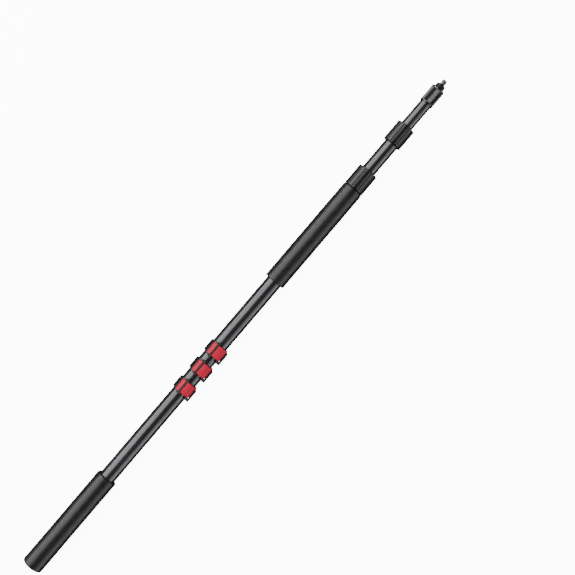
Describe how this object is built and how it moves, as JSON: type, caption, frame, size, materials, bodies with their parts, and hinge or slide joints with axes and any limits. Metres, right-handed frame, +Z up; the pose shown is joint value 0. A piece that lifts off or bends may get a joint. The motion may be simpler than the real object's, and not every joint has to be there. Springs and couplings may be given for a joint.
{
  "type": "boom pole",
  "caption": "Telescopic hand-held microphone boom pole with twist-lock collars, foam grips, a threaded tip and hinged cable clips on its rear tube.",
  "frame": {"origin": "middle of the box's underside, on the plane that the pole lies on", "axes": "+X along the pole towards its tip, +Z up, the cable channels on the -Y side"},
  "size_m": [1.046, 0.0388, 0.0401],
  "materials": {
    "black_anodised": "satin black anodised",
    "foam_grip": "matte fine-grained closed-cell foam",
    "lock_polymer": "satin moulded",
    "bush_polymer": "matt moulded",
    "soft_rubber": "matt",
    "clip_black": "satin moulded",
    "clip_red": "semi-gloss moulded",
    "thread_metal": "machined",
    "pin_steel": "drawn wire"
  },
  "bodies": {
    "main_section": {"main_tube": "black_anodised", "rear_grip": "foam_grip", "rear_end_plug": "bush_polymer", "front_grip": "foam_grip", "main_ferrule": "black_anodised", "main_collet": "bush_polymer"},
    "main_collar": {"main_lock_collar": "lock_polymer", "main_seal_ring": "soft_rubber"},
    "middle_section": {"middle_tube": "black_anodised", "middle_guide_bush": "bush_polymer", "middle_ferrule": "black_anodised", "middle_collet": "bush_polymer"},
    "middle_collar": {"middle_lock_collar": "lock_polymer", "middle_seal_ring": "soft_rubber"},
    "inner_section": {"inner_tube": "black_anodised", "inner_guide_bush": "bush_polymer", "tip_cap": "lock_polymer", "tip_stud": "thread_metal"},
    "tip_ring": {"tip_lock_ring": "black_anodised"},
    "clip_1": {"clip_1_band": "clip_black", "clip_1_pad": "soft_rubber", "clip_1_cover": "clip_red", "clip_1_pin": "pin_steel"},
    "clip_1_lever": {"clip_1_latch": "clip_red", "clip_1_tab": "clip_black"},
    "clip_2": {"clip_2_band": "clip_black", "clip_2_pad": "soft_rubber", "clip_2_cover": "clip_red", "clip_2_pin": "pin_steel"},
    "clip_2_lever": {"clip_2_latch": "clip_red", "clip_2_tab": "clip_black"},
    "clip_3": {"clip_3_band": "clip_black", "clip_3_pad": "soft_rubber", "clip_3_cover": "clip_red", "clip_3_pin": "pin_steel"},
    "clip_3_lever": {"clip_3_latch": "clip_red", "clip_3_tab": "clip_black"}
  },
  "joints": [
    {"name": "main_collar_twist", "type": "hinge", "parent": "main_section", "child": "main_collar", "pos_m": [0.2893, 0.00109, 0.01831], "axis": [1, 0, 0], "range_deg": [0, 150]},
    {"name": "middle_section_slide", "type": "slide", "parent": "main_section", "child": "middle_section", "axis": [1, 0, 0], "range_m": [-0.056, 0.668]},
    {"name": "middle_collar_twist", "type": "hinge", "parent": "middle_section", "child": "middle_collar", "pos_m": [0.3863, 0.00109, 0.01831], "axis": [1, 0, 0], "range_deg": [0, 150]},
    {"name": "inner_section_slide", "type": "slide", "parent": "middle_section", "child": "inner_section", "axis": [1, 0, 0], "range_m": [-0.047, 0.69]},
    {"name": "tip_ring_twist", "type": "hinge", "parent": "inner_section", "child": "tip_ring", "pos_m": [0.5058, 0.00109, 0.01831], "axis": [1, 0, 0], "range_deg": [0, 360]},
    {"name": "clip_1_slide", "type": "slide", "parent": "main_section", "child": "clip_1", "axis": [1, 0, 0], "range_m": [-0.175, 0]},
    {"name": "clip_1_latch_hinge", "type": "hinge", "parent": "clip_1", "child": "clip_1_lever", "pos_m": [-0.1355, 0.00209, 0.03771], "axis": [-1, 0, 0], "range_deg": [0, 95]},
    {"name": "clip_2_slide", "type": "slide", "parent": "main_section", "child": "clip_2", "axis": [1, 0, 0], "range_m": [-0.008, 0.005]},
    {"name": "clip_2_latch_hinge", "type": "hinge", "parent": "clip_2", "child": "clip_2_lever", "pos_m": [-0.0947, 0.00209, 0.03771], "axis": [-1, 0, 0], "range_deg": [0, 95]},
    {"name": "clip_3_slide", "type": "slide", "parent": "main_section", "child": "clip_3", "axis": [1, 0, 0], "range_m": [0, 0.128]},
    {"name": "clip_3_latch_hinge", "type": "hinge", "parent": "clip_3", "child": "clip_3_lever", "pos_m": [-0.0573, 0.00209, 0.03771], "axis": [-1, 0, 0], "range_deg": [0, 95]}
  ]
}
